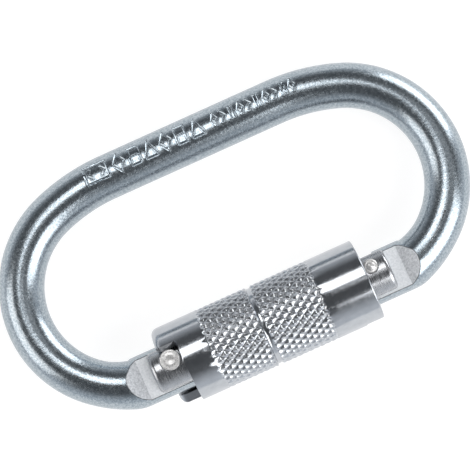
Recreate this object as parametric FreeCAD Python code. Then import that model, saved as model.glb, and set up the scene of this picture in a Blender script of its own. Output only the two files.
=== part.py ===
import FreeCAD, Part
import math
import os

from FreeCAD import Base

# Twist-lock steel oval connector, closed and locked. Millimetres.
# Origin at the centre of the bounding box; +X runs along the object towards the
# nose end, +Y across it from the gate towards the spine, +Z out of the loop's plane.

# ---- driving dimensions -------------------------------------------------------

LENGTH = 108.0                 # overall length of the bow
ROD_R = 5.0                    # bar stock of the bow
SPACING = 44.0                 # spine axis to gate axis
SLEEVE_R = 9.25                # outside of the locking sleeve
SHOULDER_BEND_R = 42.4         # gentle bend between the spine and each end
SHOULDER_ANGLE = 20.0
THROAT_BEND_R = 7.3            # tight bend that turns each end into its tongue
THROAT_ANGLE = 18.6
SWELL_ANGLE = 20.0             # stretch of the end bend over which the bar thickens

TONGUE_R = 5.65                # rounded edges of the flattened tongues
TONGUE_HALF = 3.15             # half thickness between the flats
HINGE_DROP = 0.2               # tongue axes sit this far outside the gate axis
NOSE_DROP = 0.6
FLAT_END_X = 30.8              # where the flats start to run out into the bar
RUNOUT_END_X = 33.8            # where the run-out reaches the bar's surface

GATE_R = 5.6                   # gate bar
GATE_HINGE_X = -28.4
GATE_NOSE_X = 27.9
FORK_HALF = 3.25               # half width of the slots that straddle the tongues
HINGE_SLOT_X = -18.2
NOSE_SLOT_X = 19.3
EAR_ROUND = 1.3
NOSE_CHAMFER = 0.9

HINGE_X = -23.5                # hinge rivet
HINGE_RISE = 1.3               # above the gate axis, towards the inside of the loop
RIVET_R = 2.0
RIVET_HEAD_R = 2.25
RIVET_HEAD_TOP = 7.0           # front head stands in the sleeve's notch as its stop
RIVET_BACK_TOP = 6.15          # back head passes under the sleeve's tab
RIVET_SEAT = 4.9
RIVET_CHAMFER = 0.3
HINGE_CLEARANCE = 0.05
CAM_OFFSET = 0.8               # centre of the tongue's end round, above the rivet
CAM_R = 4.8
TONGUE_CORNER = 2.0

PIN_X = 24.07                  # latch pin
PIN_RISE = 1.95
PIN_R = 1.3
PIN_HEAD_R = 1.6
PIN_SEAT = 4.2
PIN_TOP = 5.35
PIN_DOME = 0.45
PIN_CLEARANCE = 0.3

NOSE_TIP_X = 20.0              # hook at the end of the nose tongue
NOSE_LIP_TOP = 4.3
NOSE_LIP_ROUND = 0.9

SLEEVE_TAB_X = -25.5           # locking sleeve
SLEEVE_RING_X = -20.7
SLEEVE_NOSE_X = 22.45
SLEEVE_BORE_R = 7.25
SLEEVE_CUP_R = 8.25
SLEEVE_CUP_X = 18.4
SLEEVE_GUIDE_X = 15.4
GUIDE_CLEARANCE = 0.05
TAB_ROUND = 1.6
SLEEVE_CHAMFER = 0.3
NOTCH_FROM = -29.5             # angles round the gate axis, from +Z towards -Y
NOTCH_TO = 115.5
GATEWAY_FROM = 79.0            # slot that lets the nose out once the sleeve is turned
GATEWAY_TO = 180.0
BEAD_X = -2.1                  # rolled groove that locks the retaining ring
BEAD_WIDTH = 1.25
BEAD_DEPTH = 0.4
RING_WIDTH = 3.6
RING_LIP_WIDTH = 1.6
RING_LIP_R = 5.15
RING_SPLIT = 2.0
RING_GROOVE_CLEARANCE = 0.1

PLUNGER_R = 1.4                # gate return plunger and its spring
PLUNGER_LENGTH = 4.0
PLUNGER_GAP = 0.05
PLUNGER_BORE_R = 1.45
PLUNGER_BORE_END_X = -6.0
GATE_WIRE_R = 0.22
GATE_COIL_R = 1.1
GATE_COILS = 9

TWIST_WIRE_R = 0.42            # spring that turns the sleeve back
TWIST_COIL_R = 6.4
TWIST_COILS = 8
SPRING_GAP = 0.4                # clear of the plunger through its whole travel
COIL_STEPS = 12                # lengths of wire to a coil
MITRED = 1                     # corner style of a swept wire

OVERSHOOT = 1.0                # cutters run this far past an open end
TOLERANCE = 1e-6

# ---- worked out from the driving dimensions -------------------------------------

HEIGHT = SPACING + ROD_R + SLEEVE_R
SPINE_Y = HEIGHT / 2 - ROD_R
GATE_Y = SPINE_Y - SPACING
HINGE_Y = GATE_Y + HINGE_RISE
PIN_Y = GATE_Y + PIN_RISE
CAM_Y = HINGE_Y + CAM_OFFSET
TONGUE_TIP_X = HINGE_X + CAM_R

shoulder = math.radians(SHOULDER_ANGLE)
throat = math.radians(THROAT_ANGLE)

X_AXIS = Base.Vector(1, 0, 0)
Z_AXIS = Base.Vector(0, 0, 1)


# ---- helpers --------------------------------------------------------------------

def point(x, y, z=0.0):
    return Base.Vector(x, y, z)


def round_bar(x_from, x_to, radius, y=GATE_Y):
    """Cylinder along X, on the gate axis unless told otherwise."""
    return Part.makeCylinder(radius, x_to - x_from, point(x_from, y), X_AXIS)


def upright(x, y, radius, z_from, z_to):
    """Cylinder square to the loop's plane."""
    return Part.makeCylinder(radius, z_to - z_from, point(x, y, z_from), Z_AXIS)


def block(x_from, x_to, y_from, y_to, z_from, z_to):
    return Part.makeBox(x_to - x_from, y_to - y_from, z_to - z_from, point(x_from, y_from, z_from))


def extruded(corners, direction):
    """Prism over a closed polygon of points."""
    return Part.Face(Part.makePolygon(corners + corners[:1])).extrude(direction)


def turned(profile):
    """Solid of revolution about the gate axis, from (x, radius) corners."""
    corners = [point(x, GATE_Y + radius) for x, radius in profile]
    face = Part.Face(Part.makePolygon(corners + corners[:1]))
    return face.revolve(point(0, GATE_Y), X_AXIS, 360)


def mirrored_z(shape):
    return shape.mirror(point(0, 0), Z_AXIS)


def arc(centre, radius, angle_from, angle_to):
    """Arc in the loop's plane, angles from +X towards +Y, either way round."""
    def at(angle):
        return centre + point(radius * math.cos(angle), radius * math.sin(angle))
    middle = (angle_from + angle_to) / 2
    return Part.Arc(at(angle_from), at(middle), at(angle_to)).toShape()


def section(centre, direction, radius):
    return Part.Wire(Part.makeCircle(radius, centre, direction))


def piped(edges, sections):
    """Solid swept along tangent edges through one or more round sections."""
    return Part.Wire(edges).makePipeShell(sections, True, False)


def sector(x_from, x_to, angle_from, angle_to, radius):
    """Wedge of a cylinder on the gate axis; angles from +Z towards -Y."""
    sweep = angle_to - angle_from
    wedge = Part.makeCylinder(radius, x_to - x_from, point(x_from, GATE_Y), X_AXIS, sweep)
    wedge.rotate(point(x_from, GATE_Y), X_AXIS, angle_from)
    return wedge


def cleaned(shape):
    """The one solid of a boolean's result, with split faces merged."""
    solids = shape.removeSplitter().Solids
    assert len(solids) == 1, len(solids)
    return solids[0]


# ---- bow: one bent bar with two flattened tongues ---------------------------------

def bow_half(drop):
    """Bar from the middle of the spine round one end to a tongue that far outside the gate axis."""
    end_r = (
        SPACING + drop
        - SHOULDER_BEND_R * (1 - math.cos(shoulder))
        - THROAT_BEND_R * (1 - math.cos(throat))
    ) / (math.cos(shoulder) + math.cos(throat))
    spine_half = (
        LENGTH / 2 - ROD_R
        - SHOULDER_BEND_R * math.sin(shoulder)
        - end_r * (1 - math.sin(shoulder))
    )
    shoulder_centre = point(spine_half, SPINE_Y - SHOULDER_BEND_R)
    end_centre = shoulder_centre + point(
        (SHOULDER_BEND_R - end_r) * math.sin(shoulder),
        (SHOULDER_BEND_R - end_r) * math.cos(shoulder),
    )
    quarter = math.pi / 2
    swell_at = throat + math.radians(SWELL_ANGLE) - quarter
    throat_centre = end_centre + point(
        (end_r - THROAT_BEND_R) * math.cos(throat - quarter),
        (end_r - THROAT_BEND_R) * math.sin(throat - quarter),
    )
    even = [
        Part.makeLine(point(0, SPINE_Y), point(spine_half, SPINE_Y)),
        arc(shoulder_centre, SHOULDER_BEND_R, quarter, quarter - shoulder),
        arc(end_centre, end_r, quarter - shoulder, swell_at),
    ]
    swelling = [
        arc(end_centre, end_r, swell_at, throat - quarter),
        arc(throat_centre, THROAT_BEND_R, throat - quarter, -quarter),
    ]
    joint = swelling[0].Vertexes[0].Point
    along = point(math.sin(swell_at), -math.cos(swell_at))
    tongue_start = throat_centre + point(0, -THROAT_BEND_R)
    assert abs(tongue_start.y - (GATE_Y - drop)) < TOLERANCE
    bar = piped(even, [section(point(0, SPINE_Y), X_AXIS, ROD_R)])
    neck = piped(swelling, [section(joint, along, ROD_R), section(tongue_start, X_AXIS, TONGUE_R)])
    return bar.fuse(neck), tongue_start.x


def flat_cutter():
    """Takes the top off a tongue down to its flat, with a sloping run-out."""
    reach = 2 * ROD_R
    slope = (ROD_R - TONGUE_HALF) / (RUNOUT_END_X - FLAT_END_X)
    profile = [
        point(0, GATE_Y - reach, TONGUE_HALF),
        point(FLAT_END_X, GATE_Y - reach, TONGUE_HALF),
        point(FLAT_END_X + reach, GATE_Y - reach, TONGUE_HALF + slope * reach),
        point(0, GATE_Y - reach, TONGUE_HALF + slope * reach),
    ]
    cutter = extruded(profile, point(0, 2 * reach))
    return cutter.fuse(mirrored_z(cutter))


def hinge_tongue_outline():
    """Rounded end about a centre just above the rivet, so the plunger's push closes the gate."""
    top = GATE_Y - HINGE_DROP + TONGUE_R
    bottom = top - 2 * TONGUE_R
    rise = math.asin((top - CAM_Y) / CAM_R)
    meet = point(HINGE_X + CAM_R * math.cos(rise), top)
    back = -FLAT_END_X - ROD_R
    foot = point(TONGUE_TIP_X, CAM_Y)
    corner_centre = point(TONGUE_TIP_X - TONGUE_CORNER, bottom + TONGUE_CORNER)
    edges = [
        Part.makeLine(point(back, top), meet),
        arc(point(HINGE_X, CAM_Y), CAM_R, rise, 0),
        Part.makeLine(foot, corner_centre + point(TONGUE_CORNER, 0)),
        arc(corner_centre, TONGUE_CORNER, 0, -math.pi / 2),
        Part.makeLine(corner_centre - point(0, TONGUE_CORNER), point(back, bottom)),
        Part.makeLine(point(back, bottom), point(back, top)),
    ]
    return Part.Face(Part.Wire(edges))


def nose_outline():
    """Hook: a lip at the tip and a seat, open towards the loop, for the latch pin."""
    top = GATE_Y - NOSE_DROP + TONGUE_R
    bottom = top - 2 * TONGUE_R
    seat_r = PIN_R + PIN_CLEARANCE
    lip_right = PIN_X - seat_r
    wall_left = PIN_X + seat_r
    lip_top = GATE_Y + NOSE_LIP_TOP
    back = FLAT_END_X + ROD_R
    lip_r = NOSE_LIP_ROUND
    corner_r = TONGUE_CORNER
    edges = [
        Part.makeLine(point(back, top), point(wall_left, top)),
        Part.makeLine(point(wall_left, top), point(wall_left, PIN_Y)),
        Part.Arc(point(wall_left, PIN_Y), point(PIN_X, PIN_Y - seat_r), point(lip_right, PIN_Y)).toShape(),
        Part.makeLine(point(lip_right, PIN_Y), point(lip_right, lip_top - lip_r)),
        arc(point(lip_right - lip_r, lip_top - lip_r), lip_r, 0, math.pi / 2),
        Part.makeLine(point(lip_right - lip_r, lip_top), point(NOSE_TIP_X + lip_r, lip_top)),
        arc(point(NOSE_TIP_X + lip_r, lip_top - lip_r), lip_r, math.pi / 2, math.pi),
        Part.makeLine(point(NOSE_TIP_X, lip_top - lip_r), point(NOSE_TIP_X, bottom + corner_r)),
        arc(point(NOSE_TIP_X + corner_r, bottom + corner_r), corner_r, math.pi, 3 * math.pi / 2),
        Part.makeLine(point(NOSE_TIP_X + corner_r, bottom), point(back, bottom)),
        Part.makeLine(point(back, bottom), point(back, top)),
    ]
    return Part.Face(Part.Wire(edges))


def tongue(outline, round_from, round_to, drop):
    """Round stub of a tongue, trimmed to its outline; the flats are cut later."""
    prism = outline.extrude(point(0, 0, 2 * TONGUE_R))
    prism.translate(point(0, 0, -TONGUE_R))
    return round_bar(round_from, round_to, TONGUE_R, GATE_Y - drop).common(prism)


def bow():
    hinge_half, hinge_start = bow_half(HINGE_DROP)
    nose_half, nose_start = bow_half(NOSE_DROP)
    hinge_tongue = tongue(hinge_tongue_outline(), -hinge_start, TONGUE_TIP_X, HINGE_DROP)
    nose_tongue = tongue(nose_outline(), NOSE_TIP_X, nose_start, NOSE_DROP)
    cutter = flat_cutter()
    left = hinge_half.mirror(point(0, 0), X_AXIS).fuse(hinge_tongue)
    left = left.cut(cutter.mirror(point(0, 0), X_AXIS))
    right = nose_half.fuse(nose_tongue).cut(cutter)
    hole = upright(HINGE_X, HINGE_Y, RIVET_R + HINGE_CLEARANCE, -TONGUE_R, TONGUE_R)
    return cleaned(left.cut(hole).fuse(right))


# ---- gate ---------------------------------------------------------------------------

def fork_slot(x_from, x_to):
    return block(x_from, x_to, GATE_Y - SLEEVE_R, GATE_Y + SLEEVE_R, -FORK_HALF, FORK_HALF)


def ring_groove():
    half = RING_LIP_WIDTH / 2 + RING_GROOVE_CLEARANCE
    floor = RING_LIP_R - GUIDE_CLEARANCE
    return turned([
        (BEAD_X - half, floor), (BEAD_X + half, floor),
        (BEAD_X + half, SLEEVE_R), (BEAD_X - half, SLEEVE_R),
    ])


def plunger_bore():
    return round_bar(HINGE_SLOT_X - OVERSHOOT, PLUNGER_BORE_END_X, PLUNGER_BORE_R)


def edge_at(shape, x):
    """The one circular edge at x."""
    for edge in shape.Edges:
        if len(edge.Vertexes) == 1 and abs(edge.CenterOfMass.x - x) < TOLERANCE:
            return edge
    raise ValueError(x)


def gate_bar():
    bar = round_bar(GATE_HINGE_X, GATE_NOSE_X, GATE_R)
    bar = bar.makeFillet(EAR_ROUND, [edge_at(bar, GATE_HINGE_X)])
    bar = bar.makeChamfer(NOSE_CHAMFER, [edge_at(bar, GATE_NOSE_X)])
    bar = bar.cut(fork_slot(GATE_HINGE_X - GATE_R, HINGE_SLOT_X))
    bar = bar.cut(fork_slot(NOSE_SLOT_X, GATE_NOSE_X + GATE_R))
    bar = bar.cut(upright(HINGE_X, HINGE_Y, RIVET_R, -SLEEVE_R, SLEEVE_R))
    bar = bar.cut(upright(PIN_X, PIN_Y, PIN_R, -SLEEVE_R, SLEEVE_R))
    rivet_seat = upright(HINGE_X, HINGE_Y, RIVET_HEAD_R + RIVET_CHAMFER, RIVET_SEAT, SLEEVE_R)
    pin_seat = upright(PIN_X, PIN_Y, PIN_HEAD_R, PIN_SEAT, SLEEVE_R)
    for seat in (rivet_seat, pin_seat):
        bar = bar.cut(seat).cut(mirrored_z(seat))
    bar = bar.cut(ring_groove())
    return cleaned(bar.cut(plunger_bore()))


def peened(x, y, shank_r, head_r, seat, top, dome):
    """Shank with a formed head at each end, dome high at its middle."""
    shank = upright(x, y, shank_r, -seat, seat)
    head = upright(x, y, head_r, seat, top)
    crown_r = (head_r ** 2 + dome ** 2) / (2 * dome)
    crown = Part.makeSphere(crown_r, point(x, y, top + dome - crown_r))
    head = head.fuse(crown.common(upright(x, y, head_r, top, top + dome)))
    return cleaned(shank.fuse(head).fuse(mirrored_z(head)))


def rivet_head(top):
    head = upright(HINGE_X, HINGE_Y, RIVET_HEAD_R, RIVET_SEAT, top)
    rim = max(head.Edges, key=lambda edge: edge.CenterOfMass.z)
    return head.makeChamfer(RIVET_CHAMFER, [rim])


def hinge_rivet():
    shank = upright(HINGE_X, HINGE_Y, RIVET_R, -RIVET_SEAT, RIVET_SEAT)
    front = rivet_head(RIVET_HEAD_TOP)
    back = mirrored_z(rivet_head(RIVET_BACK_TOP))
    return cleaned(shank.fuse(front).fuse(back))


def latch_pin():
    return peened(PIN_X, PIN_Y, PIN_R, PIN_HEAD_R, PIN_SEAT, PIN_TOP, PIN_DOME)


def gate_plunger():
    start = TONGUE_TIP_X + PLUNGER_GAP
    return round_bar(start, start + PLUNGER_LENGTH, PLUNGER_R)


def coil(x_from, x_to, coils, coil_r, wire_r):
    """Spring on the gate axis between two x values, in short straight lengths of wire."""
    rise = x_to - x_from - 2 * wire_r
    count = coils * COIL_STEPS
    route = []
    for step in range(count + 1):
        turn = 2 * math.pi * step / COIL_STEPS
        x = x_from + wire_r + rise * step / count
        route.append(point(x, GATE_Y + coil_r * math.cos(turn), coil_r * math.sin(turn)))
    wire = section(route[0], route[1] - route[0], wire_r)
    return Part.Wire(Part.makePolygon(route)).makePipeShell([wire], True, False, MITRED)


def gate_spring():
    start = TONGUE_TIP_X + PLUNGER_GAP + PLUNGER_LENGTH
    return coil(start + SPRING_GAP, PLUNGER_BORE_END_X - SPRING_GAP, GATE_COILS, GATE_COIL_R, GATE_WIRE_R)


# ---- locking sleeve -----------------------------------------------------------------

def locking_sleeve():
    half = BEAD_WIDTH / 2
    bead_r = SLEEVE_BORE_R - BEAD_DEPTH
    guide_r = GATE_R + GUIDE_CLEARANCE
    sleeve = turned([
        (SLEEVE_TAB_X, SLEEVE_BORE_R),
        (BEAD_X - half, SLEEVE_BORE_R), (BEAD_X - half / 2, bead_r),
        (BEAD_X + half / 2, bead_r), (BEAD_X + half, SLEEVE_BORE_R),
        (SLEEVE_GUIDE_X, SLEEVE_BORE_R), (SLEEVE_GUIDE_X, guide_r),
        (SLEEVE_CUP_X, guide_r), (SLEEVE_CUP_X, SLEEVE_CUP_R),
        (SLEEVE_NOSE_X, SLEEVE_CUP_R), (SLEEVE_NOSE_X, SLEEVE_R - SLEEVE_CHAMFER),
        (SLEEVE_NOSE_X - SLEEVE_CHAMFER, SLEEVE_R),
        (BEAD_X + half, SLEEVE_R), (BEAD_X + half / 2, SLEEVE_R - BEAD_DEPTH),
        (BEAD_X - half / 2, SLEEVE_R - BEAD_DEPTH), (BEAD_X - half, SLEEVE_R),
        (SLEEVE_TAB_X, SLEEVE_R),
    ])
    rim = max(
        (edge for edge in sleeve.Edges if abs(edge.CenterOfMass.x - SLEEVE_TAB_X) < TOLERANCE),
        key=lambda edge: edge.Length,
    )
    sleeve = sleeve.makeFillet(TAB_ROUND, [rim])
    notch = sector(SLEEVE_TAB_X - OVERSHOOT, SLEEVE_RING_X, NOTCH_FROM, NOTCH_TO, 2 * SLEEVE_R)
    gateway = sector(SLEEVE_CUP_X, SLEEVE_NOSE_X + OVERSHOOT, GATEWAY_FROM, GATEWAY_TO, 2 * SLEEVE_R)
    return cleaned(sleeve.cut(notch).cut(gateway))


def retaining_ring():
    """Split ring locked in the sleeve by the rolled groove; its lip runs in the gate bar's groove."""
    half = RING_WIDTH / 2
    lip = RING_LIP_WIDTH / 2
    bead = BEAD_WIDTH / 2
    bead_r = SLEEVE_BORE_R - BEAD_DEPTH
    guide_r = GATE_R + GUIDE_CLEARANCE
    ring = turned([
        (BEAD_X - half, SLEEVE_BORE_R),
        (BEAD_X - bead, SLEEVE_BORE_R), (BEAD_X - bead / 2, bead_r),
        (BEAD_X + bead / 2, bead_r), (BEAD_X + bead, SLEEVE_BORE_R),
        (BEAD_X + half, SLEEVE_BORE_R), (BEAD_X + half, guide_r),
        (BEAD_X + lip, guide_r), (BEAD_X + lip, RING_LIP_R),
        (BEAD_X - lip, RING_LIP_R), (BEAD_X - lip, guide_r),
        (BEAD_X - half, guide_r),
    ])
    split = block(
        BEAD_X - RING_WIDTH, BEAD_X + RING_WIDTH, GATE_Y - RING_SPLIT / 2,
        GATE_Y + RING_SPLIT / 2, -SLEEVE_R, 0,
    )
    return cleaned(ring.cut(split))


def sleeve_spring():
    start = BEAD_X + RING_WIDTH / 2 + SPRING_GAP
    return coil(start, SLEEVE_GUIDE_X - SPRING_GAP, TWIST_COILS, TWIST_COIL_R, TWIST_WIRE_R)


NODES = {
    "bow": bow,
    "gate_bar": gate_bar,
    "hinge_rivet": hinge_rivet,
    "latch_pin": latch_pin,
    "gate_plunger": gate_plunger,
    "gate_spring": gate_spring,
    "locking_sleeve": locking_sleeve,
    "retaining_ring": retaining_ring,
    "sleeve_spring": sleeve_spring,
}


def main():
    os.makedirs("parts", exist_ok=True)
    for name, make in NODES.items():
        shape = make()
        assert shape.isValid(), name
        shape.exportStep("parts/%s.step" % name)
        box = shape.BoundBox
        print("%-16s volume %9.1f  x %.2f..%.2f  y %.2f..%.2f  z %.2f..%.2f" % (
            name, shape.Volume, box.XMin, box.XMax, box.YMin, box.YMax, box.ZMin, box.ZMax))


main()
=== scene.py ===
"""Looks of a twist-lock steel oval connector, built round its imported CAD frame. Metres."""
import math

import bmesh
import bpy
import numpy as np
from mathutils import Matrix, Vector


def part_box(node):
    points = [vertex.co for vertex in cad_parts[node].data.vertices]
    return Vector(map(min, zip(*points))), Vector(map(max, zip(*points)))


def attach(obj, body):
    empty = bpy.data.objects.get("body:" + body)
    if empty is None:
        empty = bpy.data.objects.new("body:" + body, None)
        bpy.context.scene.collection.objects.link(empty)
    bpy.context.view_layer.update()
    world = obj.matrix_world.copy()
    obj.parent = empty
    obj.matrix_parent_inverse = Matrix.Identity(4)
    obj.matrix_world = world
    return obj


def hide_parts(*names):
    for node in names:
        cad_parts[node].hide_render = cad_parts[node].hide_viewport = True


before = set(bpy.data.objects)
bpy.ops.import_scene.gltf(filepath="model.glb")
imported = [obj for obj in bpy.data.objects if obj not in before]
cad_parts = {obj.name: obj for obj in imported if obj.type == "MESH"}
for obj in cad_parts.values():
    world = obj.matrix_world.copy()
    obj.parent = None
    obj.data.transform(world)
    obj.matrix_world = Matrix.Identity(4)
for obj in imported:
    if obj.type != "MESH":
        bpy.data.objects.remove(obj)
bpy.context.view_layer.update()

MM = 0.001
MICRON = 0.000001
TAU = 2 * math.pi

# ---- main radii, and places taken from the frame ------------------------------------

SLEEVE_R = 9.25 * MM
ROD_R = 5.0 * MM
GATE_R = 5.6 * MM

SLEEVE_LOW, SLEEVE_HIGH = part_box("locking_sleeve")
_, BOW_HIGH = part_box("bow")
GATE_LOW, GATE_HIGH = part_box("gate_bar")
RIVET_LOW, RIVET_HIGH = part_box("hinge_rivet")
PIN_LOW, PIN_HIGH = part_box("latch_pin")

GATE_Y = SLEEVE_LOW.y + SLEEVE_R
SPINE_Y = BOW_HIGH.y - ROD_R
HALF_LENGTH = BOW_HIGH.x
RIVET_X = (RIVET_LOW.x + RIVET_HIGH.x) / 2
RIVET_Y = (RIVET_LOW.y + RIVET_HIGH.y) / 2
PIN_X = (PIN_LOW.x + PIN_HIGH.x) / 2
PIN_Y = (PIN_LOW.y + PIN_HIGH.y) / 2

# ---- sizes of the pieces -----------------------------------------------------------

# bow
SHOULDER_BEND_R = 42.4 * MM
SHOULDER_ANGLE = math.radians(20.0)
THROAT_BEND_R = 7.3 * MM
THROAT_ANGLE = math.radians(18.6)
SWELL_ANGLE = math.radians(20.0)
TONGUE_R = 5.65 * MM
TONGUE_HALF = 3.15 * MM
HINGE_DROP = 0.2 * MM
NOSE_DROP = 0.6 * MM
FLAT_START_X = 8.0 * MM
FLAT_END_X = 30.8 * MM
RUNOUT_END_X = 33.8 * MM
RUNOUT_REACH = 10.0 * MM
HINGE_TIP_X = -18.7 * MM
NOSE_TIP_X = 20.0 * MM
RIVET_HOLE_R = 2.05 * MM
CAM_OFFSET = 0.8 * MM
CAM_R = 4.8 * MM
CORNER_R = 2.0 * MM
SEAT_R = 1.6 * MM
LIP_R = 0.9 * MM
LIP_TOP = GATE_Y + 4.3 * MM
# width of the dark line of painted shade round the flats and run-outs
EDGE_LINE = 0.16 * MM
CLEAR = 12.0 * MM

# gate, rivet and pin
FORK_HALF = 3.25 * MM
HINGE_SLOT_X = -18.2 * MM
NOSE_SLOT_X = 19.3 * MM
HINGE_END_ROUND = 1.3 * MM
NOSE_END_ROUND = 0.9 * MM
SPRING_BORE_R = 1.45 * MM
SPRING_BORE_END_X = -6.0 * MM
RIVET_HEAD_R = 2.25 * MM
RIVET_SHANK_R = 2.0 * MM
RIVET_GRIP = 4.9 * MM
RIVET_SEAT_R = 2.55 * MM
PIN_HEAD_R = 1.6 * MM
PIN_SHANK_R = 1.3 * MM
PIN_GRIP = 4.2 * MM
PIN_SEAT_R = 1.72 * MM

# locking sleeve
SLEEVE_RING_X = -20.7 * MM
SLEEVE_BORE_R = 7.25 * MM
SLEEVE_CUP_R = 8.25 * MM
SLEEVE_CUP_X = 18.4 * MM
SLEEVE_GUIDE_X = 15.4 * MM
GUIDE_R = 5.65 * MM
TAB_ROUND = 1.6 * MM
TAB_CORNER = 1.5 * MM
NOTCH = (math.radians(-29.5), math.radians(115.5))
GATEWAY = (math.radians(79.0), math.radians(180.0))
BEAD_X = -2.1 * MM
BEAD_HALF = 0.62 * MM
BEAD_DEPTH = 0.4 * MM
BEAD_MARGIN = 0.05 * MM
KNURL_FROM = -14.8 * MM
KNURL_TO = 11.9 * MM
KNURL_COUNT = 32
KNURL_PITCH = 2.67 * MM
KNURL_DEPTH = 0.40 * MM
KNURL_RUN_IN = 0.7 * MM
KNURL_COLUMNS = 16
KNURL_ROWS = 14
KNURL_CREST = 1.25
KNURL_WEAK_LIFT = 0.15
RIM = 0.3 * MM
SEAM_GAP = 0.01 * MM
STATION_GAP = 0.05 * MM
CUT_INNER_R = 6.0 * MM
CUT_OUTER_R = 11.0 * MM
FLARE_STEPS = 12


# ---- mesh helpers -------------------------------------------------------------------

def link(name, data):
    obj = bpy.data.objects.new(name, data)
    bpy.context.scene.collection.objects.link(obj)
    return obj


def mesh_object(name, points, faces):
    mesh = bpy.data.meshes.new(name)
    mesh.from_pydata([tuple(p) for p in points], [], faces)
    mesh.validate()
    return link(name, mesh)


def tidy(obj, merge=1e-7):
    """Welds doubles and points every face outwards."""
    work = bmesh.new()
    work.from_mesh(obj.data)
    bmesh.ops.remove_doubles(work, verts=work.verts, dist=merge)
    bmesh.ops.recalc_face_normals(work, faces=work.faces)
    work.to_mesh(obj.data)
    work.free()


def smooth(obj, angle=32.0):
    obj.data.shade_smooth()
    obj.data.set_sharp_from_angle(angle=math.radians(angle))


def apply_modifiers(obj):
    graph = bpy.context.evaluated_depsgraph_get()
    mesh = bpy.data.meshes.new_from_object(obj.evaluated_get(graph))
    obj.modifiers.clear()
    obj.data = mesh


def carve(obj, *cutters):
    """Cuts each cutter out of obj and removes the cutters."""
    for cutter in cutters:
        tidy(cutter)
        cut = obj.modifiers.new("cut", "BOOLEAN")
        cut.operation = "DIFFERENCE"
        cut.solver = "EXACT"
        cut.object = cutter
        bpy.context.view_layer.update()
        apply_modifiers(obj)
        bpy.data.objects.remove(cutter)


def grid_faces(rows, columns, closed=True, first=0):
    """Quads between neighbouring rows of points; closed joins the last column to the first."""
    faces = []
    span = columns if closed else columns - 1
    for row in range(rows - 1):
        for column in range(span):
            here = first + row * columns
            beside = (column + 1) % columns
            faces.append((here + column, here + beside,
                          here + columns + beside, here + columns + column))
    return faces


def braced(profile, gap=0.04 * MM):
    """Adds a point close to both ends of each long stretch, which keeps flats evenly shaded."""
    path = [profile[0]]
    for start, end in zip(profile, profile[1:]):
        a, b = Vector(start), Vector(end)
        if (b - a).length > 6 * gap:
            step = (b - a).normalized() * gap
            path += [tuple(a + step), tuple(b - step)]
        path.append(end)
    return path


def lathe(name, profile, segments=192, centre=(0.0, GATE_Y, 0.0), axis="X"):
    """Closed turned solid from (along, radius) pairs that begin and end on the axis."""
    profile = braced(profile)
    points = []
    for along, radius in profile:
        for step in range(segments):
            turn = TAU * step / segments
            across, up = radius * math.cos(turn), radius * math.sin(turn)
            local = (along, across, up) if axis == "X" else (across, up, along)
            points.append(Vector(local) + Vector(centre))
    obj = mesh_object(name, points, grid_faces(len(profile), segments))
    tidy(obj)
    return obj


def rounded_profile(corners, radius, steps=5):
    """(along, radius) corners with each inner corner cut by a small round."""
    path = [Vector(corners[0])]
    for before, corner, after in zip(corners, corners[1:], corners[2:]):
        b, c, a = Vector(before), Vector(corner), Vector(after)
        reach = min(radius, (b - c).length * 0.45, (a - c).length * 0.45)
        start = c + (b - c).normalized() * reach
        end = c + (a - c).normalized() * reach
        for step in range(steps + 1):
            t = step / steps
            path.append(start * (1 - t) ** 2 + c * 2 * t * (1 - t) + end * t ** 2)
    path.append(Vector(corners[-1]))
    return [tuple(p) for p in path]


def prism(name, outline, low, high):
    """Upright prism over (x, y) points, between two z values."""
    count = len(outline)
    points = [(x, y, low) for x, y in outline] + [(x, y, high) for x, y in outline]
    faces = [tuple(range(count)), tuple(range(2 * count - 1, count - 1, -1))]
    for i in range(count):
        j = (i + 1) % count
        faces.append((i, j, count + j, count + i))
    return mesh_object(name, points, faces)


def side_prism(name, outline, low, high):
    """Prism over (x, z) points, between two y values."""
    obj = prism(name, outline, low, high)
    for vertex in obj.data.vertices:
        x, z, y = vertex.co
        vertex.co = (x, y, z)
    tidy(obj)
    return obj


def rod_cut(name, x, y, radius, low, high):
    """Upright round cutter."""
    profile = [(low, 0.0), (low, radius), (high, radius), (high, 0.0)]
    return lathe(name, profile, 64, (x, y, 0.0), "Z")


def circle_points(x, y, radius, start, end, steps=24):
    """Points on an arc, angles in degrees."""
    points = []
    for step in range(steps + 1):
        turn = math.radians(start + (end - start) * step / steps)
        points.append((x + radius * math.cos(turn), y + radius * math.sin(turn)))
    return points


# ---- stamped marks on the spine ---------------------------------------------------------

STAMP_DEPTH = 0.17 * MM
STAMP_HALF_WIDTH = 0.21 * MM
STAMP_LINE_Y = SPINE_Y + 1.2 * MM
PANEL_X = -21.8
LARGE_ROW_X = -16.4
LARGE_PITCH = 3.7
SMALL_ROW_X = 6.4
SMALL_PITCH = 2.05


def stroke(x, y, start, end):
    """Distance in mm from points (x, y) to a straight stroke."""
    ax, ay = start
    dx, dy = end[0] - ax, end[1] - ay
    along = np.clip(((x - ax) * dx + (y - ay) * dy) / (dx * dx + dy * dy), 0, 1)
    return np.hypot(x - ax - along * dx, y - ay - along * dy)


def closed(corners):
    """Strokes of a closed figure."""
    return list(zip(corners, corners[1:] + corners[:1]))


def rectangle(x, half_width, half_height):
    left, right = x - half_width, x + half_width
    return closed([(left, -half_height), (right, -half_height),
                   (right, half_height), (left, half_height)])


def diamond(x, half_width, half_height):
    return closed([(x - half_width, 0.0), (x, half_height),
                   (x + half_width, 0.0), (x, -half_height)])


def chevron(foot_x, tip_x, half_height):
    return [((foot_x, -half_height), (tip_x, 0.0)), ((tip_x, 0.0), (foot_x, half_height))]


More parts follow.
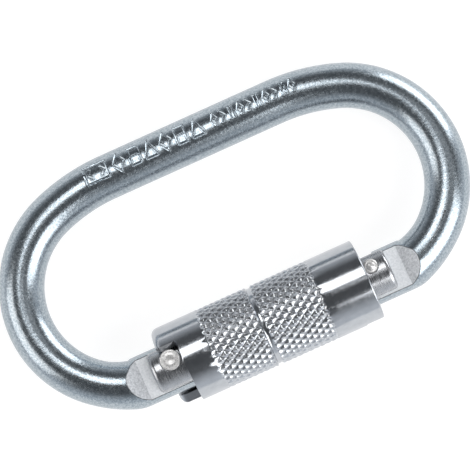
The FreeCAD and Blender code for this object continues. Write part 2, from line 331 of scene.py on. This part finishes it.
def mark_strokes():
    """Strokes of the generic marks, in mm from the middle of the marks' line."""
    strokes = rectangle(PANEL_X, 2.6, 1.9)
    for side in (-1, 1):
        foot = PANEL_X + side * 1.2
        strokes += chevron(foot, foot + side * 0.9, 1.0)
    # large row: diamond, barred square, triangle in turn
    for column in range(6):
        x = LARGE_ROW_X + column * LARGE_PITCH
        figure = column % 3
        if figure == 0:
            strokes += diamond(x, 1.3, 2.1)
        elif figure == 1:
            strokes += rectangle(x, 1.1, 1.9)
            strokes.append(((x - 1.1, 0.0), (x + 1.1, 0.0)))
        else:
            strokes += closed([(x - 1.4, -1.9), (x + 1.4, -1.9), (x, 2.0)])
    # small row: little diamond, chevron, paired bars in turn
    for column in range(10):
        x = SMALL_ROW_X + column * SMALL_PITCH
        figure = column % 3
        if figure == 0:
            strokes += diamond(x, 0.65, 1.35)
        elif figure == 1:
            strokes += chevron(x - 0.45, x + 0.5, 1.3)
        else:
            strokes += [((bar, -1.3), (bar, 1.3)) for bar in (x - 0.4, x + 0.4)]
    return strokes


def stamp_distance(x, y):
    """Distance in mm from points (x, y) to the nearest stroke."""
    return np.minimum.reduce([stroke(x, y, start, end) for start, end in mark_strokes()])


def stamp_height(x, y):
    """How far the surface moves, in metres: a groove with a slightly raised lip."""
    distance = stamp_distance(x / MM, y / MM) * MM
    inside = np.clip(distance / STAMP_HALF_WIDTH, 0, 1)
    groove = -STAMP_DEPTH * (1 - inside ** 2)
    past = (distance - 1.5 * STAMP_HALF_WIDTH) / (0.6 * STAMP_HALF_WIDTH)
    return groove + 0.25 * STAMP_DEPTH * np.exp(-past ** 2)


# ---- bow -------------------------------------------------------------------------------

STAMP_REACH = 27.0 * MM
FINE_STEP = 0.13 * MM
COARSE_STEP = 1.1 * MM
AROUND = 144
FINE_AROUND = 86
FINE_ARC = (math.radians(30), math.radians(112))


def bow_route(drop, tip_x):
    """(point, direction, radius) from the middle of the spine to a tongue's tip, for x > 0."""
    shoulder, throat, quarter = SHOULDER_ANGLE, THROAT_ANGLE, math.pi / 2
    spacing = SPINE_Y - GATE_Y + drop
    end_r = (spacing - SHOULDER_BEND_R * (1 - math.cos(shoulder))
             - THROAT_BEND_R * (1 - math.cos(throat))) / (math.cos(shoulder) + math.cos(throat))
    spine_half = (HALF_LENGTH - ROD_R - SHOULDER_BEND_R * math.sin(shoulder)
                  - end_r * (1 - math.sin(shoulder)))
    stops = []

    def straight(start, end, step, heading):
        count = max(1, round(abs(end[0] - start[0]) / step))
        for i in range(count):
            stops.append((start[0] + (end[0] - start[0]) * i / count, start[1], heading))

    def bend(cx, cy, radius, start, end, step):
        count = max(2, round(radius * abs(end - start) / step))
        for i in range(count):
            turn = start + (end - start) * i / count
            stops.append((cx + radius * math.cos(turn), cy + radius * math.sin(turn),
                          turn - quarter))

    straight((0.0, SPINE_Y), (spine_half, SPINE_Y), FINE_STEP, 0.0)
    centre = Vector((spine_half, SPINE_Y - SHOULDER_BEND_R))
    stamped = math.asin((STAMP_REACH - spine_half) / SHOULDER_BEND_R)
    bend(*centre, SHOULDER_BEND_R, quarter, quarter - stamped, FINE_STEP)
    bend(*centre, SHOULDER_BEND_R, quarter - stamped, quarter - shoulder, COARSE_STEP)
    outwards = Vector((math.sin(shoulder), math.cos(shoulder)))
    centre += outwards * (SHOULDER_BEND_R - end_r)
    bend(*centre, end_r, quarter - shoulder, throat - quarter, COARSE_STEP)
    outwards = Vector((math.sin(throat), -math.cos(throat)))
    centre += outwards * (end_r - THROAT_BEND_R)
    bend(*centre, THROAT_BEND_R, throat - quarter, -quarter, COARSE_STEP / 2)
    tongue_y = centre.y - THROAT_BEND_R
    straight((centre.x, tongue_y), (tip_x, tongue_y), COARSE_STEP, -math.pi)
    stops.append((tip_x, tongue_y, -math.pi))
    swell_from = throat + SWELL_ANGLE - math.pi
    route = []
    for x, y, heading in stops:
        grown = min(1.0, max(0.0, (swell_from - heading) / (math.pi + swell_from)))
        radius = ROD_R + (TONGUE_R - ROD_R) * grown * grown * (3 - 2 * grown)
        route.append((Vector((x, y, 0.0)), heading, radius))
    return route


def bar_turns():
    """Angles of the bar's corners, from the outer side towards +Z, closest where the marks are."""
    fine = np.linspace(*FINE_ARC, FINE_AROUND)
    coarse = np.linspace(FINE_ARC[1], FINE_ARC[0] + TAU, AROUND - FINE_AROUND + 2)
    return [float(turn) for turn in (*fine, *coarse[1:-1])]


def bow_tube():
    """Round bar along the whole route, stamped on the upper face of its spine."""
    right = bow_route(NOSE_DROP, NOSE_TIP_X)
    left = [(Vector((-point.x, point.y, 0.0)), -heading, radius)
            for point, heading, radius in bow_route(HINGE_DROP, -HINGE_TIP_X)]
    turns = bar_turns()
    points = []
    for centre, heading, radius in left[::-1] + right[1:]:
        normal = Vector((-math.sin(heading), math.cos(heading), 0.0))
        for turn in turns:
            raised = Vector((0.0, 0.0, radius * math.sin(turn)))
            points.append(centre + normal * (radius * math.cos(turn)) + raised)
    rows = len(points) // AROUND
    faces = grid_faces(rows, AROUND)
    faces.append(tuple(range(AROUND)))
    faces.append(tuple(range(rows * AROUND - 1, (rows - 1) * AROUND - 1, -1)))
    obj = mesh_object("bow_bar", points, faces)
    tidy(obj)
    stamp(obj)
    return obj


def stamp(obj):
    """Moves the skin of the spine along its normals, by the depth of the marks."""
    co = np.array([v.co for v in obj.data.vertices])
    x, y, z = co.T
    top = (z > 0) & (np.abs(x) < STAMP_REACH) & (y > SPINE_Y - ROD_R)
    lift = np.where(top, stamp_height(x, y - STAMP_LINE_Y), 0.0)
    normals = np.array([v.normal for v in obj.data.vertices])
    co += normals * lift[:, None]
    obj.data.vertices.foreach_set("co", co.ravel())
    obj.data.update()


def flat_cutter(name, side, face):
    """Wedge that takes a tongue down to one of its flats; side is -1 or 1 in X, face in Z."""
    slope = (ROD_R - TONGUE_HALF) / (RUNOUT_END_X - FLAT_END_X)
    far = FLAT_END_X + RUNOUT_REACH
    outline = [(side * FLAT_START_X, face * TONGUE_HALF), (side * FLAT_END_X, face * TONGUE_HALF),
               (side * far, face * (TONGUE_HALF + slope * RUNOUT_REACH)),
               (side * FLAT_START_X, face * CLEAR)]
    return side_prism(name, outline, GATE_Y - CLEAR, GATE_Y + CLEAR)


def hinge_tip_cutter():
    """Leaves the hinge tongue a round cam for the plunger above and a rounded corner below."""
    cam_y = RIVET_Y + CAM_OFFSET
    top = GATE_Y + TONGUE_R
    bottom = GATE_Y - HINGE_DROP - TONGUE_R
    rise = math.degrees(math.asin((top - cam_y) / CAM_R))
    outline = circle_points(RIVET_X, cam_y, CAM_R, rise, 0)
    outline += circle_points(HINGE_TIP_X - CORNER_R, bottom + CORNER_R, CORNER_R, 0, -90)
    far = HINGE_TIP_X + CLEAR
    outline += [(outline[-1][0], bottom - MM), (far, bottom - MM), (far, top + MM),
                (outline[0][0], top + MM)]
    return prism("hinge_tip", outline, -CLEAR, CLEAR)


def nose_hook_cutter():
    """Opens the latch pin's seat in the nose tongue and lowers the lip beside it."""
    top = GATE_Y + TONGUE_R + MM
    lip_x = PIN_X - SEAT_R
    outline = [(PIN_X + SEAT_R, top)]
    outline += circle_points(PIN_X, PIN_Y, SEAT_R, 0, -180)
    outline += circle_points(lip_x - LIP_R, LIP_TOP - LIP_R, LIP_R, 0, 90)
    outline += [(NOSE_TIP_X - MM, LIP_TOP), (NOSE_TIP_X - MM, top)]
    return prism("nose_hook", outline, -CLEAR, CLEAR)


def nose_corner_cutter():
    bottom = GATE_Y - NOSE_DROP - TONGUE_R
    outline = circle_points(NOSE_TIP_X + CORNER_R, bottom + CORNER_R, CORNER_R, 180, 270)
    outline += [(NOSE_TIP_X + CORNER_R, bottom - MM), (NOSE_TIP_X - MM, bottom - MM),
                (NOSE_TIP_X - MM, bottom + CORNER_R)]
    return prism("nose_corner", outline, -CLEAR, CLEAR)


def make_bow():
    obj = bow_tube()
    flats = [flat_cutter("flat", side, face) for side in (-1, 1) for face in (-1, 1)]
    hole = rod_cut("hole", RIVET_X, RIVET_Y, RIVET_HOLE_R, -CLEAR, CLEAR)
    carve(obj, *flats, hinge_tip_cutter(), nose_hook_cutter(), nose_corner_cutter(), hole)
    obj.name = "bow_bar"
    smooth(obj)
    return obj


# ---- gate -------------------------------------------------------------------------------

def fork_cutter(low, high):
    outline = [(low, -FORK_HALF), (high, -FORK_HALF), (high, FORK_HALF), (low, FORK_HALF)]
    return side_prism("fork", outline, GATE_Y - CLEAR, GATE_Y + CLEAR)


def make_gate():
    ends = [(GATE_LOW.x, 0.0), (GATE_LOW.x, GATE_R), (GATE_HIGH.x, GATE_R), (GATE_HIGH.x, 0.0)]
    round_end = rounded_profile(ends[:3], HINGE_END_ROUND, 10)
    nose_end = rounded_profile(ends[1:], NOSE_END_ROUND, 6)
    obj = lathe("gate_body", round_end[:-1] + nose_end[1:])
    cutters = [
        fork_cutter(GATE_LOW.x - MM, HINGE_SLOT_X),
        fork_cutter(NOSE_SLOT_X, GATE_HIGH.x + MM),
        lathe("bore", [(HINGE_SLOT_X - MM, 0.0), (HINGE_SLOT_X - MM, SPRING_BORE_R),
                       (SPRING_BORE_END_X, SPRING_BORE_R), (SPRING_BORE_END_X, 0.0)], 48),
    ]
    seats = ((RIVET_X, RIVET_Y, RIVET_SEAT_R, RIVET_GRIP), (PIN_X, PIN_Y, PIN_SEAT_R, PIN_GRIP))
    for face in (-1, 1):
        for x, y, radius, seat in seats:
            low, high = sorted((face * seat, face * CLEAR))
            cutters.append(rod_cut("seat", x, y, radius, low, high))
    carve(obj, *cutters)
    smooth(obj)
    return obj


def make_rivet():
    """Shank between a plain back head and a front head with a small punch dimple."""
    top, back = RIVET_HIGH.z, RIVET_LOW.z
    corners = [(back, 0.0), (back, RIVET_HEAD_R), (-RIVET_GRIP, RIVET_HEAD_R),
               (-RIVET_GRIP, RIVET_SHANK_R), (RIVET_GRIP, RIVET_SHANK_R),
               (RIVET_GRIP, RIVET_HEAD_R), (top - 0.05 * MM, RIVET_HEAD_R),
               (top - 0.05 * MM, 1.5 * MM), (top, 1.1 * MM), (top - 0.03 * MM, 0.75 * MM),
               (top - 0.12 * MM, 0.0)]
    profile = rounded_profile(corners, 0.28 * MM, 6)
    obj = lathe("rivet_body", profile, 96, (RIVET_X, RIVET_Y, 0.0), "Z")
    smooth(obj, 50)
    return obj


def make_pin():
    """Peened pin: domed ends with a shallow ring round the crown."""
    half = [(0.0, PIN_SHANK_R), (PIN_GRIP, PIN_SHANK_R), (PIN_GRIP, PIN_HEAD_R),
            (5.2 * MM, PIN_HEAD_R), (5.42 * MM, 1.25 * MM), (5.36 * MM, 1.0 * MM),
            (5.55 * MM, 0.8 * MM), (PIN_HIGH.z, 0.0)]
    corners = [(-along, radius) for along, radius in half[:0:-1]] + half[1:]
    obj = lathe("pin_body", rounded_profile(corners, 0.15 * MM), 96, (PIN_X, PIN_Y, 0.0), "Z")
    smooth(obj, 60)
    return obj


# ---- sleeve -------------------------------------------------------------------------------

def around(x, radius, phi):
    """Point on the sleeve, phi from +Z towards -Y."""
    return (x, GATE_Y - radius * math.sin(phi), radius * math.cos(phi))


def knurl_lift(x, phi):
    """Surface offset of the diamond knurl: two families of helical grooves, one cut deeper."""
    u = phi * KNURL_COUNT / TAU
    w = (x - KNURL_FROM) / KNURL_PITCH

    def rise(t):
        return 2 * abs(t - round(t))

    strong = min(1.0, KNURL_CREST * rise(u + w))
    weak = KNURL_WEAK_LIFT + (1 - KNURL_WEAK_LIFT) * min(1.0, KNURL_CREST * rise(u - w))
    run_in = min(1.0, (x - KNURL_FROM) / KNURL_RUN_IN, (KNURL_TO - x) / KNURL_RUN_IN)
    return -KNURL_DEPTH * run_in * (1 - min(strong, weak))


def in_knurl(x):
    beside_bead = abs(x - BEAD_X) > BEAD_HALF + BEAD_MARGIN
    return KNURL_FROM < x < KNURL_TO and beside_bead


def bead_lift(x):
    """Surface offset of the rolled groove."""
    away = abs(x - BEAD_X) / BEAD_HALF
    return -BEAD_DEPTH * math.sqrt(max(0.0, 1 - away ** 4))


def sleeve_stations():
    """X positions of the outer skin, from the tab's round to the nose end's chamfer."""
    first = SLEEVE_LOW.x + TAB_ROUND + SEAM_GAP
    last = SLEEVE_HIGH.x - RIM
    fine = KNURL_PITCH / KNURL_ROWS
    tab_part = np.linspace(first + STATION_GAP, KNURL_FROM, 6)
    knurled = np.arange(KNURL_FROM + fine / 8, KNURL_TO, fine)
    nose_part = np.linspace(KNURL_TO + fine / 8, last - STATION_GAP, 6)
    return [first, *(float(x) for part in (tab_part, knurled, nose_part) for x in part), last]


def sleeve_solid():
    """Closed sleeve, knurled and grooved outside and stepped inside, before its two cuts."""
    columns = KNURL_COUNT * KNURL_COLUMNS
    low, high = SLEEVE_LOW.x, SLEEVE_HIGH.x
    inner = [(high, SLEEVE_CUP_R), (SLEEVE_CUP_X, SLEEVE_CUP_R), (SLEEVE_CUP_X, GUIDE_R),
             (SLEEVE_GUIDE_X, GUIDE_R), (SLEEVE_GUIDE_X, SLEEVE_BORE_R), (low, SLEEVE_BORE_R)]
    tab_end = [(low + TAB_ROUND * (1 - math.cos(t)), SLEEVE_R - TAB_ROUND * (1 - math.sin(t)))
               for t in np.linspace(0, math.pi / 2, 9)]
    nose_end = [(high - RIM * (1 - math.sin(t)), SLEEVE_R - RIM * (1 - math.cos(t)))
                for t in np.linspace(0, math.pi / 2, 4)]
    rows = [(x, r, False) for x, r in tab_end]
    rows += [(x, SLEEVE_R, True) for x in sleeve_stations()]
    rows += [(x, r, False) for x, r in nose_end[1:] + inner]
    points = []
    for x, radius, skin in rows:
        for column in range(columns):
            phi = TAU * column / columns
            lift = 0.0
            if skin and in_knurl(x):
                lift = knurl_lift(x, phi)
            elif skin:
                lift = bead_lift(x)
            points.append(around(x, radius + lift, phi))
    faces = grid_faces(len(rows), columns)
    last = (len(rows) - 1) * columns
    for column in range(columns):
        beside = (column + 1) % columns
        faces.append((last + column, last + beside, beside, column))
    obj = mesh_object("sleeve_body", points, faces)
    tidy(obj)
    return obj


def wrapped_cutter(name, edges):
    """Cutter round the gate axis from (phi, low x, high x) edges, deep enough to pass the wall."""
    points = []
    for phi, low, high in edges:
        points += [around(low, CUT_INNER_R, phi), around(low, CUT_OUTER_R, phi),
                   around(high, CUT_OUTER_R, phi), around(high, CUT_INNER_R, phi)]
    faces = grid_faces(len(edges), 4)
    faces += [(0, 1, 2, 3), tuple(range(len(points) - 1, len(points) - 5, -1))]
    return mesh_object(name, points, faces)


def notch_cutter():
    """Hinge-end notch, whose two outer corners are rounded off."""
    low = SLEEVE_LOW.x - MM
    flare = []
    for step in range(FLARE_STEPS + 1):
        away = TAB_CORNER * (1 - step / FLARE_STEPS)
        drop = TAB_CORNER - math.sqrt(TAB_CORNER ** 2 - (TAB_CORNER - away) ** 2)
        flare.append((away / SLEEVE_R, SLEEVE_LOW.x + drop))
    edges = [(NOTCH[0] - turn, low, x) for turn, x in flare]
    edges += [(phi, low, SLEEVE_RING_X) for phi in np.linspace(*NOTCH, 60)]
    edges += [(NOTCH[1] + turn, low, x) for turn, x in flare[::-1]]
    return wrapped_cutter("notch", edges)


def make_sleeve():
    obj = sleeve_solid()
    gateway = [(phi, SLEEVE_CUP_X, SLEEVE_HIGH.x + MM) for phi in np.linspace(*GATEWAY, 48)]
    carve(obj, notch_cutter(), wrapped_cutter("gateway", gateway))
    smooth(obj, 40)
    return obj


# ---- materials ------------------------------------------------------------------------------

def fill_ramp(ramp, stops):
    """Sets a colour ramp to (position, colour) stops."""
    while len(ramp.elements) < len(stops):
        ramp.elements.new(0.5)
    for element, (at, colour) in zip(ramp.elements, stops):
        element.position = at
        element.color = (*colour, 1.0)


class Material:
    """A node material on the object's own coordinates."""

    def __init__(self, name, metallic=1.0):
        self.material = bpy.data.materials.new(name)
        self.material.use_nodes = True
        self.nodes = self.material.node_tree.nodes
        self.links = self.material.node_tree.links
        self.shader = self.nodes["Principled BSDF"]
        self.shader.inputs["Metallic"].default_value = metallic
        coordinates = self.nodes.new("ShaderNodeTexCoord")
        self.place = coordinates.outputs["Object"]
        self.bump_normal = None

    def stretched(self, scale):
        """Object coordinates times a scale per axis."""
        mapping = self.nodes.new("ShaderNodeMapping")
        mapping.inputs["Scale"].default_value = scale
        self.links.new(self.place, mapping.inputs["Vector"])
        return mapping.outputs["Vector"]

    def noise(self, scale, detail=4.0, roughness=0.6):
        node = self.nodes.new("ShaderNodeTexNoise")
        node.inputs["Scale"].default_value = 1.0
        node.inputs["Detail"].default_value = detail
        node.inputs["Roughness"].default_value = roughness
        self.links.new(self.stretched(scale), node.inputs["Vector"])
        return node.outputs["Fac"]

    def ramp(self, source, stops):
        node = self.nodes.new("ShaderNodeValToRGB")
        fill_ramp(node.color_ramp, stops)
        self.links.new(source, node.inputs["Fac"])
        return node.outputs["Color"]

    def span(self, source, low, high):
        """Maps the middle of a noise's range to the values from low to high."""
        node = self.nodes.new("ShaderNodeMapRange")
        limits = {"From Min": 0.3, "From Max": 0.7, "To Min": low, "To Max": high}
        for socket, value in limits.items():
            node.inputs[socket].default_value = value
        self.links.new(source, node.inputs["Value"])
        return node.outputs["Result"]

    def colour(self, output):
        self.links.new(output, self.shader.inputs["Base Color"])

    def roughness(self, output):
        self.links.new(output, self.shader.inputs["Roughness"])

    def bump(self, source, microns):
        """Adds a layer of bump."""
        node = self.nodes.new("ShaderNodeBump")
        node.inputs["Distance"].default_value = microns * MICRON
        self.links.new(source, node.inputs["Height"])
        if self.bump_normal is not None:
            self.links.new(self.bump_normal, node.inputs["Normal"])
        self.bump_normal = node.outputs["Normal"]
        self.links.new(self.bump_normal, self.shader.inputs["Normal"])


def even(per_mm):
    """Noise scale, the same in all directions."""
    return (1000 * per_mm,) * 3


def rings(along, around_axis):
    """Noise scale per mm that draws lines round the X axis, as turning or brushing leaves."""
    return (1000 * along, 1000 * around_axis, 1000 * around_axis)


def plated_bar():
    m = Material("plated_bar")
    grain = m.noise(even(2.2), 2.0, 0.6)
    m.colour(m.ramp(grain, [(0.38, (0.30, 0.35, 0.39)), (0.62, (0.45, 0.50, 0.54))]))
    m.roughness(m.span(m.noise(even(1.5)), 0.19, 0.29))
    m.bump(m.noise(even(2.2), 1.5, 0.5), 14)
    m.bump(m.noise(even(0.5), 2.0), 20)
    return m.material


def milled_flat(name, light, dark):
    """Matt face of a pressed flat."""
    m = Material(name, 0.2)
    m.colour(m.ramp(m.noise(even(2.2), 4.0, 0.7), [(0.35, dark), (0.62, light)]))
    m.roughness(m.span(m.noise(even(2.0)), 0.38, 0.55))
    m.bump(m.noise(rings(7, 1.2), 4.0), 6)
    m.bump(m.noise(even(1.4), 4.0, 0.7), 20)
    return m.material


def painted_edge_shade():
    """Painted shade: a dull, dark line round the pressed flats and their run-outs."""
    m = Material("painted_edge_shade", 0.5)
    # the dark colour is painted shade along the edges of the flats
    m.colour(m.ramp(m.noise(even(1.5)), [(0.35, (0.07, 0.08, 0.09)), (0.65, (0.20, 0.21, 0.22))]))
    m.roughness(m.span(m.noise(even(2.0)), 0.4, 0.6))
    return m.material


def turned_steel():
    m = Material("turned_steel")
    m.colour(m.ramp(m.noise(even(0.8)), [(0.3, (0.42, 0.43, 0.45)), (0.7, (0.54, 0.55, 0.57))]))
    m.roughness(m.span(m.noise(rings(6, 0.3)), 0.16, 0.34))
    m.bump(m.noise(rings(5.2, 0.06), 2.0), 5)
    return m.material


def peened_steel():
    m = Material("peened_steel", 0.6)
    m.colour(m.ramp(m.noise(even(1.6)), [(0.3, (0.68, 0.67, 0.66)), (0.7, (0.86, 0.85, 0.84))]))
    m.roughness(m.span(m.noise(even(3.0)), 0.22, 0.42))
    m.bump(m.noise(even(1.5), 4.0, 0.7), 25)
    return m.material


def polished_plate():
    m = Material("polished_plate")
    m.colour(m.ramp(m.noise(even(0.5)), [(0.3, (0.44, 0.46, 0.49)), (0.7, (0.50, 0.52, 0.55))]))
    m.roughness(m.span(m.noise(even(1.2)), 0.13, 0.21))
    m.bump(m.noise(rings(3, 0.1), 2.0), 3)
    m.bump(m.noise(even(1.1), 3.0, 0.6), 4)
    return m.material


def knurled_plate():
    m = Material("knurled_plate")
    m.colour(m.ramp(m.noise(even(1.8)), [(0.35, (0.47, 0.49, 0.52)), (0.65, (0.62, 0.64, 0.67))]))
    m.roughness(m.span(m.noise(even(2.0)), 0.16, 0.30))
    m.bump(m.noise(even(2.6), 2.0, 0.6), 10)
    return m.material


def spring_wire():
    m = Material("spring_wire")
    m.colour(m.ramp(m.noise(even(1.0)), [(0.3, (0.30, 0.30, 0.31)), (0.7, (0.44, 0.44, 0.45))]))
    m.roughness(m.span(m.noise(even(4.0)), 0.25, 0.45))
    m.bump(m.noise(even(5.0)), 4)
    return m.material


# ---- assembly ---------------------------------------------------------------------------------

RUN_OUT_TILT = 0.8
FLAT_TILT = 0.98
LEVEL = 0.02
SMALLEST_FLAT = (0.3 * MM) ** 2


def dress(obj, material, node, body):
    obj.data.materials.clear()
    obj.data.materials.append(material)
    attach(obj, body)
    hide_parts(node)
    return obj


def mark_milled(obj, flat, run_out, edge):
    """Gives the tongues' flats and their sloping run-outs own finishes, and paints a dark line of
    shade round both.
    """
    for material in (flat, run_out, edge):
        obj.data.materials.append(material)
    for face in obj.data.polygons:
        level = face.center.y < GATE_Y + TONGUE_R + MM and abs(face.normal.y) < LEVEL
        tilt = abs(face.normal.z)
        if level and tilt > RUN_OUT_TILT and face.area > SMALLEST_FLAT:
            face.material_index = 1 if tilt > FLAT_TILT else 2
    work = bmesh.new()
    work.from_mesh(obj.data)
    pressed = [face for face in work.faces if face.material_index > 0]
    # a thin border round the flats and run-outs, which takes the dark painted shade
    border = bmesh.ops.inset_region(work, faces=pressed, thickness=EDGE_LINE,
                                    use_even_offset=True)
    for face in border["faces"]:
        face.material_index = 3
    work.to_mesh(obj.data)
    work.free()


def mark_knurl(obj, material):
    """Gives the rolled teeth their own finish."""
    obj.data.materials.append(material)
    for face in obj.data.polygons:
        x, y, z = face.center
        full = KNURL_FROM + KNURL_RUN_IN / 2 < x < KNURL_TO - KNURL_RUN_IN / 2
        outside = math.hypot(y - GATE_Y, z) > SLEEVE_R - 2 * KNURL_DEPTH
        if in_knurl(x) and full and outside:
            face.material_index = 1


bow = dress(make_bow(), plated_bar(), "bow", "bow")
# the third material paints a dark line of shade round the flats
mark_milled(bow, milled_flat("milled_flat", (0.92, 0.94, 0.97), (0.74, 0.77, 0.80)),
            milled_flat("run_out", (0.76, 0.78, 0.81), (0.44, 0.46, 0.49)), painted_edge_shade())
turned = turned_steel()
peened = peened_steel()
dress(make_gate(), turned, "gate_bar", "gate")
dress(make_rivet(), peened, "hinge_rivet", "gate")
dress(make_pin(), peened, "latch_pin", "gate")
sleeve = dress(make_sleeve(), polished_plate(), "locking_sleeve", "sleeve")
mark_knurl(sleeve, knurled_plate())

wire = spring_wire()
for node, material in (("gate_plunger", turned), ("gate_spring", wire),
                       ("retaining_ring", wire), ("sleeve_spring", wire)):
    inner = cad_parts[node]
    inner.data.materials.clear()
    inner.data.materials.append(material)


# ---- stage, light and camera --------------------------------------------------------------------

LEAN = math.asin((SLEEVE_R - ROD_R) / (SPINE_Y - GATE_Y))
UP = Vector((0.0, -math.sin(LEAN), math.cos(LEAN)))
FLOOR_DEPTH = SLEEVE_R + GATE_Y * math.sin(LEAN)
FLOOR_HALF = 3.0
FLOOR_GLOW = 0.82
LIGHT_DISTANCE = 0.6
SKY = ((0.0, 0.80), (0.34, 0.50), (0.62, 0.12), (1.0, 0.09))
SKY_TILT = math.radians(8)
ROLL = math.radians(24.3)
CAMERA_DISTANCE = 0.4
FRAME_WIDTH = 0.103
SENSOR = 36.0
AIM = Vector((0.2, 0.83, 0.0)) * MM


def make_floor():
    corners = ((-1, -1), (1, -1), (1, 1), (-1, 1))
    points = [(x * FLOOR_HALF, y * FLOOR_HALF, 0.0) for x, y in corners]
    floor = mesh_object("floor", points, [(0, 1, 2, 3)])
    lean = UP.to_track_quat("Z", "Y").to_matrix().to_4x4()
    floor.matrix_world = Matrix.Translation(-UP * FLOOR_DEPTH) @ lean
    paper = Material("pale_paper", 0.0)
    fibre = paper.noise(even(0.02))
    paper.colour(paper.ramp(fibre, [(0.3, (0.30, 0.30, 0.30)), (0.7, (0.32, 0.32, 0.32))]))
    paper.shader.inputs["Roughness"].default_value = 0.9
    paper.shader.inputs["Emission Color"].default_value = (1.0, 1.0, 1.0, 1.0)
    paper.shader.inputs["Emission Strength"].default_value = FLOOR_GLOW
    floor.data.materials.append(paper.material)


def soft_box(name, azimuth, from_up, width, height, radiance, colour=(1, 1, 1)):
    """Area light in a direction given by its azimuth from +X and its angle from +Z, in degrees."""
    a, t = math.radians(azimuth), math.radians(from_up)
    towards = Vector((math.sin(t) * math.cos(a), math.sin(t) * math.sin(a), math.cos(t)))
    light = bpy.data.lights.new(name, "AREA")
    light.shape = "RECTANGLE"
    light.size, light.size_y = width, height
    light.energy = 4 * radiance * width * height
    light.color = colour
    obj = link(name, light)
    obj.location = towards * LIGHT_DISTANCE
    obj.rotation_euler = towards.to_track_quat("Z", "Y").to_euler()


def make_world():
    """Dim studio overhead, brighter towards and below the horizon."""
    world = bpy.data.worlds.new("studio")
    bpy.context.scene.world = world
    world.use_nodes = True
    nodes, links = world.node_tree.nodes, world.node_tree.links
    place = nodes.new("ShaderNodeTexCoord")
    split = nodes.new("ShaderNodeSeparateXYZ")
    ramp = nodes.new("ShaderNodeValToRGB")
    fill_ramp(ramp.color_ramp, [(at, (level * 0.96, level, level * 1.05)) for at, level in SKY])
    lean = nodes.new("ShaderNodeMapping")
    lean.inputs["Rotation"].default_value = (SKY_TILT, 0.0, 0.0)
    links.new(place.outputs["Generated"], lean.inputs["Vector"])
    links.new(lean.outputs["Vector"], split.inputs["Vector"])
    links.new(split.outputs["Z"], ramp.inputs["Fac"])
    links.new(ramp.outputs["Color"], nodes["Background"].inputs["Color"])


def make_camera():
    data = bpy.data.cameras.new("camera")
    data.sensor_width = SENSOR
    data.lens = SENSOR * CAMERA_DISTANCE / FRAME_WIDTH
    camera = link("camera", data)
    level_right = Vector((1.0, 0.0, 0.0))
    level_up = UP.cross(level_right)
    right = math.cos(ROLL) * level_right - math.sin(ROLL) * level_up
    above = math.sin(ROLL) * level_right + math.cos(ROLL) * level_up
    turn = Matrix((right, above, UP)).transposed().to_4x4()
    camera.matrix_world = Matrix.Translation(AIM + UP * CAMERA_DISTANCE) @ turn
    bpy.context.scene.camera = camera


make_floor()
make_world()
soft_box("box_top", 97, 19.5, 0.24, 0.24, 2.9)
soft_box("box_eye", 5, 8, 0.07, 0.05, 1.6)
soft_box("box_fill", 12, 27, 0.22, 0.22, 0.30)
soft_box("box_right_high", 27, 74, 0.42, 0.32, 2.5)
soft_box("box_right_low", -50, 54, 0.46, 0.46, 2.5)
soft_box("box_left", 176, 58, 0.44, 0.36, 1.5, (1.0, 0.97, 0.94))
make_camera()
bpy.context.scene.view_settings.view_transform = "Standard"
